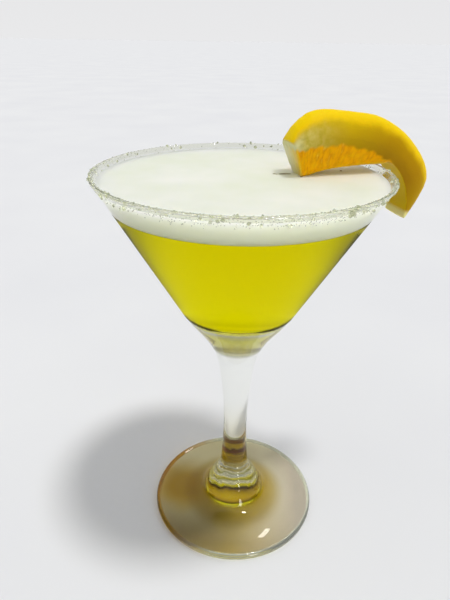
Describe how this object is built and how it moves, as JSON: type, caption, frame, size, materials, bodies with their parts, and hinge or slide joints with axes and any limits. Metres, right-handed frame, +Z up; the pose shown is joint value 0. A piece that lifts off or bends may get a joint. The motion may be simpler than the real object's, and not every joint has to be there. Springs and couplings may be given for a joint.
{
  "type": "martini cocktail",
  "caption": "Stemmed martini glass filled with yellow cocktail under a layer of pale foam, with a sugared rim and a lemon wedge hung over it.",
  "frame": {"origin": "centre of the foot's underside, on the glass axis", "axes": "+Z up along the glass axis; the lemon wedge stands over the rim towards +X, turned a little to +Y; -Y faces the viewer"},
  "size_m": [0.1321, 0.1121, 0.1878],
  "materials": {
    "glass": "clear polished glass, sugar crystals on the rim",
    "drink": "clear yellow liquid",
    "foam": "fine matt foam",
    "lemon": "waxy lemon peel with cut flesh"
  },
  "bodies": {
    "root": {"glass": "glass", "drink": "drink", "foam": "foam", "lemon": "lemon"}
  },
  "joints": []
}
